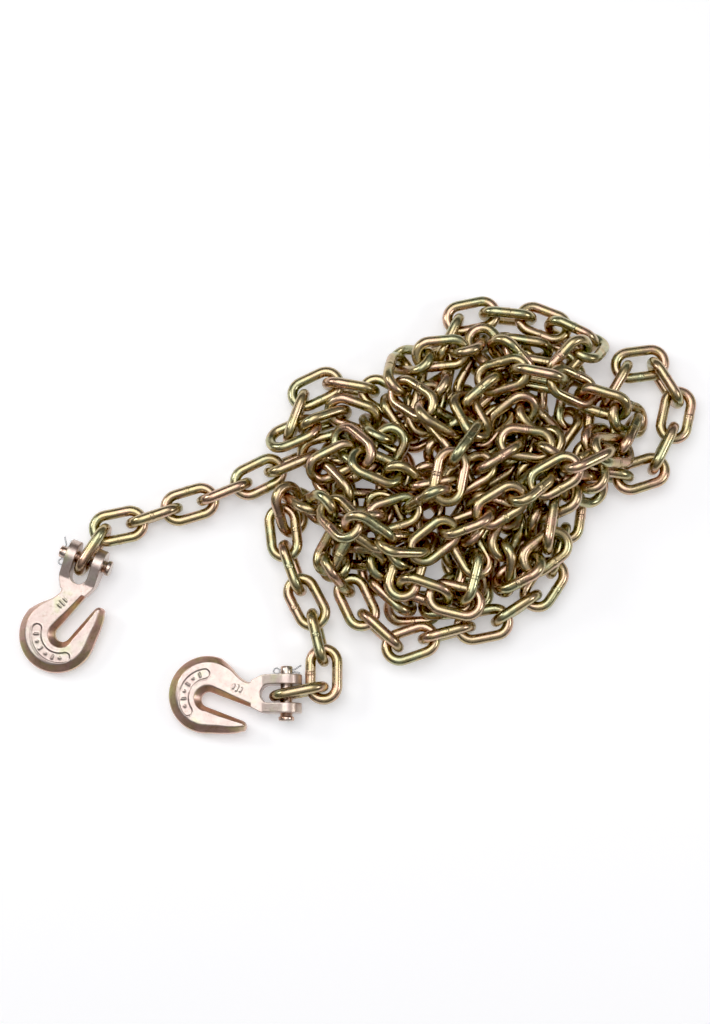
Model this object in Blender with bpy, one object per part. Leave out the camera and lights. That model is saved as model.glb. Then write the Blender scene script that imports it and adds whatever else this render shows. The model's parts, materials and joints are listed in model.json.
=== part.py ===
"""Load binder chain: 174 welded round-wire links with a forged clevis grab hook on each end.

The chain lies on a flat surface in a loose heap, and both ends run out of it as tails. The links
that can be told apart at the heap's foot and in its tails are separate pieces. The inner lays of
the heap are plain fat runs of about the chain's own outer thickness. +X is right, +Y is up the
long side, +Z is up. The origin is at the bottom centre of the whole.
"""

import math

import bmesh
import bpy
from mathutils import Matrix, Vector

# Chain, metres
WIRE = 0.010
INSIDE_LENGTH = 0.035
INSIDE_WIDTH = 0.014
LINK_SIDES = 8
CROWN_STEPS = 6
CROWN = (INSIDE_WIDTH + WIRE) / 2
HALF_STRAIGHT = (INSIDE_LENGTH - INSIDE_WIDTH) / 2
END_WIRE = HALF_STRAIGHT + CROWN
# A link on edge turns about its end wire, and a flat one about the centre of its crown
FLAT_REACH = 0.01125
FLAT_ROLL = math.radians(4)
TAIL_ROLLS = [math.radians(roll) for roll in (-4, 82, -8, 78, -12, 68, -22)]

# Hook, in its own frame: x from the pin towards the bowl, y along the pin to its head, z up
BOWL_REACH = 0.0715
BOWL_RADIUS = 0.0348
HOOK_THICK = 0.016
THROAT_RADIUS = 0.00675
THROAT_END = (0.0697, 0.0045)
THROAT_SLOPE = math.radians(21)
EAR_RADIUS = 0.014
CLEVIS_HALF_WIDTH = 0.01725
SLOT_HALF_WIDTH = 0.0082
SLOT_DEPTH = 0.023
CLEVIS_ROOT = 0.031
PIN_RADIUS = 0.0055
PIN_BORE = 0.0058
PIN_HEIGHT = 0.0171

# Clevis pin and split pin
HEAD_RADIUS = 0.0072
HEAD_START = 0.0203
HEAD_END = 0.0243
PIN_END = -0.0250
COTTER_AT = -0.0206
COTTER_BORE = 0.0017
COTTER_WIRE = 0.0007
COTTER_HALF_GAP = 0.00085
COTTER_EYE = 0.0026

# Where the hooks lie: pin centre and the heading from the pin to the bowl
HOOK_A_PIN = (-0.2427, -0.0445)
HOOK_A_HEADING = math.radians(249.6)
HOOK_A_LINK_HEADING = math.radians(58.6)
HOOK_B_PIN = (-0.0611, -0.1652)
HOOK_B_HEADING = math.radians(180)
HOOK_B_LINK_HEADING = math.radians(11)
PIN_TO_CENTRE = 0.0113

# Routes of the seats where one link hangs in the next, laid on the floor, metres
LAYOUT_SHIFT = Vector((-0.00497, -0.00051, 0))
TAIL_A_ROUTE = [(-0.197, -0.0095), (-0.165, 0.002), (-0.133, 0.012), (-0.102, 0.025),
                (-0.072, 0.040), (-0.041, 0.053), (-0.009, 0.061), (0.024, 0.064)]
TAIL_B_ROUTE = [(-0.0285, -0.1275), (-0.036, -0.098), (-0.050, -0.070), (-0.061, -0.042),
                (-0.066, -0.010), (-0.0655, 0.022)]
LEFT_LOOP = [(0.038, 0.100), (0.008, 0.116), (-0.026, 0.119), (-0.054, 0.101), (-0.061, 0.069),
             (-0.060, 0.050)]
TOP_LOOP = [(0.072, 0.118), (0.080, 0.151), (0.097, 0.181), (0.131, 0.185), (0.165, 0.180),
            (0.196, 0.166), (0.220, 0.150)]
RIGHT_LOOP = [(0.225, 0.075), (0.231, 0.109), (0.252, 0.137), (0.284, 0.135), (0.296, 0.104),
              (0.288, 0.070), (0.273, 0.040), (0.243, 0.031), (0.209, 0.038), (0.180, 0.046)]
LOWER_LOOP = [(0.194, 0.008), (0.188, -0.026), (0.176, -0.058), (0.155, -0.085), (0.125, -0.101),
              (0.091, -0.107), (0.058, -0.117), (0.028, -0.124), (0.009, -0.098), (-0.005, -0.069),
              (-0.019, -0.038)]

# Numbers of the separate links, counted along the chain from hook A
TAIL_A_FIRST = 1
TAIL_A_LINKS = 8
LEFT_FIRST = 35
LEFT_LINKS = 4
TOP_FIRST = 66
TOP_LINKS = 5
RIGHT_FIRST = 98
RIGHT_LINKS = 8
LOWER_FIRST = 132
LOWER_LINKS = 9
TAIL_B_FIRST = 169
TAIL_B_LINKS = 6

# Inner lays of the heap: fat runs folded to and fro inside an ellipse, one layer on the other
RUN_RADIUS = 0.0125
RUN_SIDES = 8
RUN_SPACING = 0.031
FOLD_STEPS = 5
LAYERS = [
    {"name": "lower", "centre": (0.098, 0.005), "long": 0.086, "short": 0.078, "turn": 90,
     "height": 0.0130},
    {"name": "middle", "centre": (0.092, 0.030), "long": 0.142, "short": 0.090, "turn": 22,
     "height": 0.0470},
    {"name": "upper", "centre": (0.094, 0.036), "long": 0.098, "short": 0.062, "turn": -35,
     "height": 0.0732},
]

CHROMATE = (0.56, 0.49, 0.33, 1)
CHROMATE_PINK = (0.66, 0.54, 0.45, 1)
ZINC = (0.72, 0.73, 0.74, 1)


def clear_scene():
    for old in list(bpy.data.objects):
        bpy.data.objects.remove(old, do_unlink=True)


def make_material(name, colour, roughness):
    material = bpy.data.materials.new(name)
    material.use_nodes = True
    shader = material.node_tree.nodes["Principled BSDF"]
    shader.inputs["Base Color"].default_value = colour
    shader.inputs["Metallic"].default_value = 1.0
    shader.inputs["Roughness"].default_value = roughness
    return material


def make_object(name, mesh, material):
    piece = bpy.data.objects.new(name, mesh)
    bpy.context.collection.objects.link(piece)
    if not mesh.materials:
        mesh.materials.append(material)
    return piece


def mesh_from(name, vertices, faces):
    mesh = bpy.data.meshes.new(name)
    mesh.from_pydata([tuple(v) for v in vertices], [], faces)
    edit = bmesh.new()
    edit.from_mesh(mesh)
    bmesh.ops.recalc_face_normals(edit, faces=edit.faces)
    edit.to_mesh(mesh)
    edit.free()
    mesh.shade_smooth()
    mesh.set_sharp_from_angle(angle=math.radians(40))
    return mesh


def joined_rings(name, rings, closed):
    """A tube through rings of points, joined end to end or capped."""
    sides = len(rings[0])
    count = len(rings)
    vertices = [v for ring in rings for v in ring]
    faces = []
    for i in range(count if closed else count - 1):
        here = i * sides
        there = (i + 1) % count * sides
        for j in range(sides):
            k = (j + 1) % sides
            faces.append((here + j, here + k, there + k, there + j))
    if not closed:
        faces.append(tuple(reversed(range(sides))))
        faces.append(tuple((count - 1) * sides + j for j in range(sides)))
    return mesh_from(name, vertices, faces)


def tube_rings(points, radius, sides, flat_normal=Vector((0, 0, 1)), closed=False):
    """Round rings across a line of points that bends about one fixed normal."""
    rings = []
    last = len(points) - 1
    for i, point in enumerate(points):
        before = points[i - 1] if closed or i else point
        after = points[(i + 1) % len(points)] if closed or i < last else point
        along = (after - before).normalized()
        side = along.cross(flat_normal).normalized()
        up = side.cross(along)
        turns = [2 * math.pi * (k + 0.5) / sides for k in range(sides)]
        rings.append([point + radius * (math.cos(a) * side + math.sin(a) * up) for a in turns])
    return rings


def link_mesh():
    """One link along +X, with its origin in the middle of its first end wire."""
    points = []
    for end, start in ((1, -90), (-1, 90)):
        for step in range(CROWN_STEPS + 1):
            turn = math.radians(start + 180 * step / CROWN_STEPS)
            x = END_WIRE + end * HALF_STRAIGHT + CROWN * math.cos(turn)
            points.append(Vector((x, CROWN * math.sin(turn), 0)))
    rings = tube_rings(points, WIRE / 2, LINK_SIDES, closed=True)
    return joined_rings("chain_link", rings, closed=True)


def smooth_route(points, per_span=24):
    """A Catmull-Rom curve through hand-set points."""
    ends = [2 * points[0] - points[1]] + points + [2 * points[-1] - points[-2]]
    line = []
    for a, b, c, d in zip(ends, ends[1:], ends[2:], ends[3:]):
        for step in range(per_span):
            t = step / per_span
            line.append(0.5 * (2 * b + (c - a) * t + (2 * a - 5 * b + 4 * c - d) * t * t
                               + (3 * b - a - 3 * c + d) * t ** 3))
    line.append(points[-1])
    return line


def points_along(route, steps):
    """Points on the route, each one the next step in a straight line from the last."""
    points = [route[0].copy()]
    for before, here in zip(route, route[1:]):
        if len(points) > len(steps):
            break
        step = steps[len(points) - 1]
        beyond = (here - points[-1]).length
        if beyond >= step:
            short = (before - points[-1]).length
            points.append(before.lerp(here, (step - short) / (beyond - short)))
    return points


def link_frame(origin, towards, roll):
    """A link's place: its long axis runs from origin towards a point, rolled about it from flat."""
    along = (towards - origin).normalized()
    side = Vector((0, 0, 1)).cross(along).normalized()
    up = along.cross(side)
    across = math.cos(roll) * side + math.sin(roll) * up
    normal = along.cross(across)
    turn = Matrix((along, across, normal)).transposed().to_4x4()
    return Matrix.Translation(origin) @ turn


def reach(roll):
    """From a link's centre to the point where it turns in its neighbour."""
    return FLAT_REACH + (END_WIRE - FLAT_REACH) * math.sin(roll) ** 2


def rest_height(roll):
    """Height of a link's centre when it lies on the floor."""
    return WIRE / 2 + CROWN * abs(math.sin(roll))


def on_floor(points, height=0):
    return [Vector((x, y, height)) + LAYOUT_SHIFT for x, y in points]


def place_link(number, start, end, roll, mesh, material):
    """A link between two turning points. Its origin is in its end wire nearer the end one."""
    middle = (start + end) / 2
    origin = middle + (end - start).normalized() * END_WIRE
    piece = make_object(f"link_{number:03d}", mesh, material)
    piece.matrix_world = link_frame(origin, middle, roll)


def lay_links(route, first_number, count_up, rolls, mesh, material):
    """Links along a route, each as low as its taller neighbour lets it lie."""
    turning = points_along(smooth_route(route), [2 * reach(roll) for roll in rolls])
    heights = [rest_height(roll) for roll in [math.pi / 2] + rolls + [math.pi / 2]]
    for point, pair in zip(turning, zip(heights, heights[1:])):
        point.z = max(pair)
    for i, roll in enumerate(rolls):
        place_link(first_number + i * count_up, turning[i], turning[i + 1], roll, mesh, material)


def build_tail(pin, heading, route, numbers, mesh, material):
    """A tail from its hook to the heap. The first link stands on edge in the clevis."""
    out = Vector((math.cos(heading), math.sin(heading), 0))
    start = on_floor([pin])[0] + (PIN_TO_CENTRE - END_WIRE) * out
    end = start + 2 * END_WIRE * out
    up = Vector((0, 0, rest_height(math.pi / 2)))
    place_link(numbers[0], start + up, end + up, math.pi / 2, mesh, material)
    rolls = [numbers.step * roll for roll in TAIL_ROLLS[:len(numbers) - 1]]
    lay_links([end] + on_floor(route), numbers[1], numbers.step, rolls, mesh, material)


def build_loop(route, first_number, count, mesh, material):
    """A loop of links at the heap's foot, flat and on edge by turns."""
    rolls = [math.pi / 2 if i % 2 else FLAT_ROLL * (1 - i % 4) for i in range(count)]
    lay_links(on_floor(route), first_number, 1, rolls, mesh, material)


def build_links(material):
    """Every link that is a piece of its own."""
    mesh = link_mesh()
    numbers = range(TAIL_A_FIRST, TAIL_A_FIRST + TAIL_A_LINKS)
    build_tail(HOOK_A_PIN, HOOK_A_LINK_HEADING, TAIL_A_ROUTE, numbers, mesh, material)
    numbers = range(TAIL_B_FIRST, TAIL_B_FIRST + TAIL_B_LINKS)[::-1]
    build_tail(HOOK_B_PIN, HOOK_B_LINK_HEADING, TAIL_B_ROUTE, numbers, mesh, material)
    build_loop(LEFT_LOOP, LEFT_FIRST, LEFT_LINKS, mesh, material)
    build_loop(TOP_LOOP, TOP_FIRST, TOP_LINKS, mesh, material)
    build_loop(RIGHT_LOOP, RIGHT_FIRST, RIGHT_LINKS, mesh, material)
    build_loop(LOWER_LOOP, LOWER_FIRST, LOWER_LINKS, mesh, material)


def folded_rows(layer):
    """Straight rows across an ellipse, as (offset, half length), kept inside its edge."""
    rows = []
    count = int(2 * (layer["short"] - RUN_RADIUS) / RUN_SPACING) + 1
    for i in range(count):
        offset = (i - (count - 1) / 2) * RUN_SPACING
        share = math.sqrt(max(0, 1 - (offset / layer["short"]) ** 2))
        rows.append((offset, layer["long"] * share - RUN_SPACING / 2))
    return rows


def run_points(rows, first_side):
    """A line to and fro along rows, with a half-round fold between each two."""
    side = first_side
    points = [Vector((-side * rows[0][1], rows[0][0], 0))]
    for (offset, half), (next_offset, next_half) in zip(rows, rows[1:] + [(None, None)]):
        points.append(Vector((0, offset, 0)))
        if next_offset is None:
            points.append(Vector((side * half, offset, 0)))
            break
        reach = min(half, next_half)
        middle = (offset + next_offset) / 2
        for step in range(FOLD_STEPS + 1):
            turn = math.pi * (step / FOLD_STEPS - 0.5)
            points.append(Vector((side * (reach + RUN_SPACING / 2 * math.cos(turn)),
                                  middle + RUN_SPACING / 2 * math.sin(turn), 0)))
        side = -side
    return [p for i, p in enumerate(points) if not i or (p - points[i - 1]).length > 0.002]


def build_runs(material):
    """The heap's inner lays, two or three runs in each layer, none touching another."""
    for layer in LAYERS:
        rows = folded_rows(layer)
        rows_each = 2
        starts = range(0, len(rows), rows_each)
        for number, start in enumerate(starts):
            points = run_points(rows[start:start + rows_each], 1)
            rings = tube_rings(points, RUN_RADIUS, RUN_SIDES)
            name = f"heap_run_{layer['name']}_{number + 1}"
            piece = make_object(name, joined_rings(name, rings, closed=False), material)
            place = Vector((*layer["centre"], layer["height"])) + LAYOUT_SHIFT
            turn = Matrix.Rotation(math.radians(layer["turn"]), 4, "Z")
            piece.matrix_world = Matrix.Translation(place) @ turn


def hook_edges():
    """Matching points on the hook's throat side and outer side, from the clevis to the tip.

    x runs from the pin to the bowl, and y to the tip's side.
    """
    slope = math.tan(THROAT_SLOPE)
    upper_y = THROAT_END[1] - THROAT_RADIUS / math.cos(THROAT_SLOPE)
    lower_y = THROAT_END[1] + THROAT_RADIUS / math.cos(THROAT_SLOPE)
    inner = []
    outer = []
    for x, out_y in ((0.0265, -0.0150), (0.0335, -0.0110), (0.0420, -0.0158), (0.0510, -0.0252),
                     (0.0600, -0.0318)):
        inner.append((x, upper_y + (THROAT_END[0] - x) * slope))
        outer.append((x, out_y))
    bowl_steps = 10
    for i in range(bowl_steps + 1):
        turn = -math.pi / 2 - THROAT_SLOPE + math.pi * i / bowl_steps
        inner.append((THROAT_END[0] + THROAT_RADIUS * math.cos(turn),
                      THROAT_END[1] + THROAT_RADIUS * math.sin(turn)))
        turn = math.radians(-84 + 176 * i / bowl_steps)
        outer.append((BOWL_REACH + BOWL_RADIUS * math.cos(turn), BOWL_RADIUS * math.sin(turn)))
    for x, out_y in ((0.0600, 0.0352), (0.0520, 0.0353), (0.0440, 0.0346), (0.0385, 0.0330)):
        inner.append((x, lower_y + (THROAT_END[0] - x) * slope))
        outer.append((x, out_y))
    inner.append((0.0355, 0.0284))
    outer.append((0.0352, 0.0312))
    return inner, outer


def hook_body_mesh():
    """The forged body: a band between the two edges, thick in the middle, with drafted sides."""
    inner, outer = hook_edges()
    rings = []
    for near, far in zip(inner, outer):
        across = Vector((far[0] - near[0], far[1] - near[1], 0))
        width = across.length
        across.normalize()
        thick = HOOK_THICK / 2 * min(1, 0.45 + width / 0.018)
        inset = 0.0052 * min(1, width / 0.020)
        start = Vector((*near, 0))
        section = (
            (0, thick * 0.55),
            (inset * 0.72, thick),
            (width - inset, thick),
            (width - inset * 0.25, thick * 0.60),
            (width, 0),
        )
        upper = [start + across * u + Vector((0, 0, z)) for u, z in section]
        lower = [start + across * u - Vector((0, 0, z)) for u, z in reversed(section[:-1])]
        rings.append(upper + lower)
    return joined_rings("hook_body", rings, closed=False)


def prism(name, outline, low, high):
    """An outline in the XY plane, made solid from low to high."""
    vertices = [Vector((x, y, low)) for x, y in outline]
    vertices += [Vector((x, y, high)) for x, y in outline]
    count = len(outline)
    faces = [tuple(reversed(range(count))), tuple(range(count, 2 * count))]
    for i in range(count):
        k = (i + 1) % count
        faces.append((i, k, count + k, count + i))
    return mesh_from(name, vertices, faces)


def clevis_plan():
    """The clevis seen from above: straight ear sides that narrow into the shank."""
    half = CLEVIS_HALF_WIDTH
    tip = -EAR_RADIUS - 0.001
    side = [(tip, half), (0.0190, half), (0.0235, 0.0160), (0.0275, 0.0138), (CLEVIS_ROOT, 0.0121)]
    return side + [(x, -y) for x, y in reversed(side)]


def clevis_profile():
    """The clevis seen from the side: round ears that narrow to the hook's thickness."""
    neck = (0.0210, HOOK_THICK / 2)
    span = math.hypot(*neck)
    meet = math.acos(EAR_RADIUS / span) + math.atan2(neck[1], neck[0])
    steps = 9
    arc = []
    for i in range(steps + 1):
        turn = meet + (2 * math.pi - 2 * meet) * i / steps
        arc.append((EAR_RADIUS * math.cos(turn), EAR_RADIUS * math.sin(turn)))
    end = (CLEVIS_ROOT + 0.001, HOOK_THICK / 2)
    return [end, neck] + arc + [(neck[0], -neck[1]), (end[0], -end[1])]


def slot_outline():
    """The clevis slot: open past the ear tips, with a round bottom."""
    points = [(-0.03, -SLOT_HALF_WIDTH)]
    steps = 8
    for i in range(steps + 1):
        turn = math.pi * (i / steps - 0.5)
        points.append((SLOT_DEPTH - SLOT_HALF_WIDTH + SLOT_HALF_WIDTH * math.cos(turn),
                       SLOT_HALF_WIDTH * math.sin(turn)))
    return points + [(-0.03, SLOT_HALF_WIDTH)]


def round_bar(name, radius, low, high, sides):
    """A plain round bar along Y."""
    rings = tube_rings([Vector((0, low, 0)), Vector((0, high, 0))], radius, sides)
    return joined_rings(name, rings, closed=False)


def helper(name, mesh, turn=None):
    """A solid that only cuts or adds to another. The build leaves it out."""
    guide = bpy.data.objects.new(name, mesh)
    bpy.context.collection.objects.link(guide)
    guide.hide_render = True
    guide.display_type = "WIRE"
    if turn is not None:
        guide.matrix_world = turn
    return guide


def add_boolean(piece, other, operation):
    cut = piece.modifiers.new(other.name, "BOOLEAN")
    cut.operation = operation
    cut.solver = "EXACT"
    cut.object = other


def settle_modifiers(piece):
    """A mesh of the piece as its modifiers leave it."""
    bpy.context.view_layer.update()
    depsgraph = bpy.context.evaluated_depsgraph_get()
    return bpy.data.meshes.new_from_object(piece.evaluated_get(depsgraph))


def hook_mesh():
    """The whole hook, with its origin on the pin's axis."""
    clevis = helper("clevis", prism("clevis", clevis_plan(), -0.02, 0.02))
    on_side = Matrix.Rotation(math.radians(90), 4, "X")
    profile = helper("clevis_profile", prism("clevis_profile", clevis_profile(), -0.03, 0.03), on_side)
    body = helper("hook_body", hook_body_mesh())
    slot = helper("slot", prism("slot", slot_outline(), -0.03, 0.03))
    bore = helper("bore", round_bar("bore", PIN_BORE, -0.03, 0.03, 16))
    add_boolean(clevis, profile, "INTERSECT")
    add_boolean(clevis, body, "UNION")
    add_boolean(clevis, slot, "DIFFERENCE")
    add_boolean(clevis, bore, "DIFFERENCE")
    mesh = settle_modifiers(clevis)
    mesh.name = "grab_hook"
    for guide in (clevis, profile, body, slot, bore):
        bpy.data.objects.remove(guide, do_unlink=True)
    return mesh


def pin_mesh():
    """Headed clevis pin along Y, with the split pin's cross hole."""
    chamfer = 0.0008
    profile = ((PIN_END, PIN_RADIUS - chamfer), (PIN_END + chamfer, PIN_RADIUS),
               (HEAD_START, PIN_RADIUS), (HEAD_START, HEAD_RADIUS),
               (HEAD_END - chamfer, HEAD_RADIUS), (HEAD_END, HEAD_RADIUS - chamfer))
    sides = 16
    rings = []
    for y, radius in profile:
        turns = [2 * math.pi * k / sides for k in range(sides)]
        rings.append([Vector((radius * math.cos(a), y, radius * math.sin(a))) for a in turns])
    pin = helper("pin", joined_rings("pin", rings, closed=False))
    across = Matrix.Translation((0, COTTER_AT, 0)) @ Matrix.Rotation(math.radians(90), 4, "Z")
    bore = helper("cotter_bore", round_bar("cotter_bore", COTTER_BORE, -0.01, 0.01, 8), across)
    add_boolean(pin, bore, "DIFFERENCE")
    mesh = settle_modifiers(pin)
    mesh.name = "clevis_pin"
    for guide in (pin, bore):
        bpy.data.objects.remove(guide, do_unlink=True)
    return mesh


def cotter_mesh():
    """Split pin along X through the clevis pin: an eye at one end and two spread legs."""
    gap = COTTER_HALF_GAP
    clear = PIN_RADIUS + 0.001
    path = [(-0.0132, -0.0050), (-0.0095, -0.0028), (-clear, -gap), (0, -gap), (clear, -gap)]
    eye_x = clear + COTTER_EYE
    for step in range(7):
        turn = math.radians(-150 + 50 * step)
        path.append((eye_x + COTTER_EYE * math.cos(turn), COTTER_EYE * math.sin(turn)))
    path += [(clear, gap), (0, gap), (-clear, gap), (-0.0095, 0.0014), (-0.0122, 0.0020)]
    points = [Vector((x, COTTER_AT + y, 0)) for x, y in path]
    rings = tube_rings(points, COTTER_WIRE, 6)
    return joined_rings("cotter", rings, closed=False)


def hook_tilt():
    """How far the hook leans down from its pin until the bowl rests on the floor."""
    far = BOWL_REACH + BOWL_RADIUS - 0.0052
    half = HOOK_THICK / 2
    return math.asin(PIN_HEIGHT / math.hypot(far, half)) - math.atan2(half, far)


def build_end(letter, pin, heading, meshes, materials):
    """A hook with its clevis pin and split pin, leaning from the pin to the floor."""
    hook, clevis_pin, cotter = meshes
    place = Matrix.Translation(on_floor([pin], PIN_HEIGHT)[0])
    turn = Matrix.Rotation(heading, 4, "Z") @ Matrix.Rotation(hook_tilt(), 4, "Y")
    for name, mesh, material in zip(("hook", "clevis_pin", "cotter"), (hook, clevis_pin, cotter),
                                    materials):
        piece = make_object(f"{name}_{letter}", mesh, material)
        piece.matrix_world = place @ turn


def build():
    clear_scene()
    chromate = make_material("chain", CHROMATE, 0.28)
    hook_finish = make_material("hook", CHROMATE_PINK, 0.32)
    pin_finish = make_material("clevis_pin", CHROMATE_PINK, 0.25)
    zinc = make_material("cotter", ZINC, 0.3)
    build_links(chromate)
    build_runs(chromate)
    meshes = (hook_mesh(), pin_mesh(), cotter_mesh())
    finishes = (hook_finish, pin_finish, zinc)
    build_end("a", HOOK_A_PIN, HOOK_A_HEADING, meshes, finishes)
    build_end("b", HOOK_B_PIN, HOOK_B_HEADING, meshes, finishes)


build()
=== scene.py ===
"""Looks for the load binder chain: every link, both grab hooks, their pins and split pins.

The links that the frame holds are placed from it. The links of the heap's inner lays are laid
along routes, one lay on the other, and dropped until they rest on each other and on the floor.
"""

import json
import math

import bmesh
import bpy
import numpy as np
from mathutils import Matrix, Vector


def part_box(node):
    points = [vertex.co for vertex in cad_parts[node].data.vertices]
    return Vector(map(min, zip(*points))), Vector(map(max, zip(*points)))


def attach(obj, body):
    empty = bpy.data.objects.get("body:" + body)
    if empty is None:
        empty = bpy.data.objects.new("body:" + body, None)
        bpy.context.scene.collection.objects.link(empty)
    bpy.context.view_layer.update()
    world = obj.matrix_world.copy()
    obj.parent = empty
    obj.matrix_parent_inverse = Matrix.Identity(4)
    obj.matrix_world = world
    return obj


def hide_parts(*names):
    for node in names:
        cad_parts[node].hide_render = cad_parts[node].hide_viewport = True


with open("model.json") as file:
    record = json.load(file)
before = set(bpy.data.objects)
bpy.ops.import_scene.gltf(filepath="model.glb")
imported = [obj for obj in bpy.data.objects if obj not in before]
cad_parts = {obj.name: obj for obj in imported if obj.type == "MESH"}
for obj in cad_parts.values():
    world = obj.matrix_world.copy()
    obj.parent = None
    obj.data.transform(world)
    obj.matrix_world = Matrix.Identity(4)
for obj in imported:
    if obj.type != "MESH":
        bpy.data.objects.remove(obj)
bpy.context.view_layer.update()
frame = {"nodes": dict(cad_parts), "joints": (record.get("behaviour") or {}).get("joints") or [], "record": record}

# Chain, metres
WIRE = 0.010
CROWN = 0.012
HALF_STRAIGHT = 0.0105
PITCH = 0.0333
LINKS = 174
FLOOR_TOP = 0.0001
SLACK = 0.00014  # shown wires are this much thinner, so links clear each other at the limits

# Stretches of the inner lays: first link, last link, wave phase, and the route between the
# links that the frame holds, metres
LAYS = [
    (9, 34, 0.7, [
        (-.016, .0595), (.028, .062), (.056, .030), (.030, .005), (.012, -.030), (.035, -.065),
        (.080, -.085), (.115, -.065), (.100, -.025), (.085, .012), (.120, .035), (.165, .045),
        (.200, .075), (.205, .115), (.180, .150), (.140, .150), (.112, .130), (.108, .095),
        (.075, .078), (.0329, .0995)]),
    (39, 65, 2.1, [
        (-.066, .066), (-.034, .082), (.002, .088), (.034, .070), (.020, .035), (-.018, .022),
        (-.030, -.010), (-.005, -.045), (.038, -.050), (.060, -.020), (.050, .018), (.080, .040),
        (.115, .025), (.150, .040), (.165, .080), (.135, .105), (.105, .090), (.080, .065),
        (.055, .080), (.0671, .1176)]),
    (71, 97, 0.3, [
        (.1792, .1716), (.208, .160), (.215, .125), (.180, .110), (.150, .125), (.125, .155),
        (.085, .150), (.050, .130), (.020, .105), (.035, .070), (.075, .060), (.110, .070),
        (.145, .085), (.175, .070), (.170, .030), (.135, .010), (.125, -.035), (.150, -.055),
        (.165, -.020), (.180, .015), (.215, .035), (.220, .0746)]),
    (106, 131, 1.2, [
        (.1998, .0385), (.165, .050), (.130, .055), (.100, .035), (.070, .015), (.035, .025),
        (.015, .055), (-.020, .055), (-.030, .025), (.000, .000), (.030, -.020), (.020, -.055),
        (.050, -.085), (.090, -.075), (.100, -.035), (.125, -.010), (.150, -.035), (.140, -.070),
        (.165, -.060), (.172, -.025), (.189, .0074)]),
    (141, 168, 3.0, [
        (-.0082, -.073), (-.016, -.040), (.012, -.015), (.050, .000), (.090, .020), (.110, .055),
        (.095, .090), (.120, .125), (.155, .135), (.185, .105), (.205, .075), (.240, .085),
        (.255, .060), (.225, .035), (.185, .030), (.150, .010), (.110, -.015), (.070, -.015),
        (.040, -.040), (.005, -.030), (.000, .005), (-.030, .015), (-.055, .010),
        (-.071, -.0087)]),
]
WAVE_LENGTH = 0.11
WAVE_MOST = 0.045  # widest side wave tried
WAVE_EASE = 0.05  # the wave grows over this length at each end
LAY_POINTS = 240
SHORT_STEP, LONG_STEP = 0.020, 0.045  # range of link steps tried along a route
LENGTH_MATCH = 0.004  # how near the step has to come to the pitch, as a share
ROLL_SPREAD = 0.10

# Heights of a lay's middle line before it drops
OVER_FLOOR = 0.0175
OVER_WIRE = 0.017
WIRE_REACH = 0.024  # a laid wire this near, seen from above, is under the route
END_RUN = 0.030  # each end keeps the height of the link that it joins for this length
CROSS_LAG, CROSS_REACH, CROSS_RISE = 0.10, 0.032, 0.036  # over the route's own earlier passes
CLIMB = 0.9  # steepest slope
END_CLIMB = 1.3  # times as steep by the ends

# Where the tails' first links go as they lift or swing: joint, degrees, and the links it moves.
# The heap keeps clear of them.
SWEPT = [("link_006_lift", 12, (6,)), ("link_006_lift", 24, (6, 5)), ("link_169_lift", 15, (169,)),
         ("link_169_lift", 30, (169, 170)), ("link_170_swing", 6, (170, 171)),
         ("link_005_swing", 10, (5, 4))]

# How links push apart
CLEAR = 0.0103  # centreline to centreline
NEAR = 0.060  # links with their centres this near are tested
NEAR_EVERY, SQUARE_EVERY = 6, 20  # rounds between new lists of near links, and clean rotations
PASSES = 4
TURN_WEIGHTS = 1 / np.array([0.00011, 0.00034, 0.00043])
OVERSHOOT, SHARING = 1.3, 0.6
MOST_MOVE, MOST_ROCK, MOST_TURNING = 0.002, 0.10, 0.06

# Kinds of settling: rounds, fall added in each, share of speed kept, and grip where wires touch
PART_WAYS = (20, 0, 0.2, 0)
DROP_LAY = (160, 0.00006, 0.95, 0.1)
DROP_ALL = (300, 0.00004, 0.9, 0.2)
PART_AT_LAST = (80, 0, 0.2, 0)


def ring_points(crown_steps=11, side_steps=5):
    """Points along a link's centreline, in its own frame: x along it, y across, z through it."""
    points = []
    for end, start in ((1, -90), (-1, 90)):
        for k in range(crown_steps + 1):
            a = math.radians(start + 180 * k / crown_steps)
            points.append((end * HALF_STRAIGHT + CROWN * math.cos(a), CROWN * math.sin(a), 0))
        for k in range(1, side_steps):
            points.append((end * HALF_STRAIGHT * (1 - 2 * k / side_steps), end * CROWN, 0))
    return np.array(points)


RING = ring_points()


def link_turn(start, end, roll):
    """A link's rotation: x from start to end, rolled about it from lying flat."""
    along = (end - start) / np.linalg.norm(end - start)
    side = np.cross([0, 0, 1], along)
    side /= np.linalg.norm(side)
    up = np.cross(along, side)
    across = np.cos(roll) * side + np.sin(roll) * up
    return np.stack([along, across, np.cross(along, across)], 1)


def roll_of(turn):
    """How far a link is rolled about its length from lying flat."""
    side = np.cross([0, 0, 1], turn[:, 0])
    side /= np.linalg.norm(side)
    return math.atan2(turn[:, 1] @ np.cross(turn[:, 0], side), turn[:, 1] @ side)


def place_of(node):
    """Centre and rotation of a link that the frame holds."""
    points = np.array([v.co for v in node.data.vertices])
    points = np.unique(np.round(points, 6), axis=0)
    centre = points.mean(0)
    axes = np.linalg.eigh(np.cov((points - centre).T))[1][:, ::-1].copy()
    if axes[0, 0] < 0:
        axes[:, 0] *= -1
    axes[:, 2] = np.cross(axes[:, 0], axes[:, 1])
    return centre, axes


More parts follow.
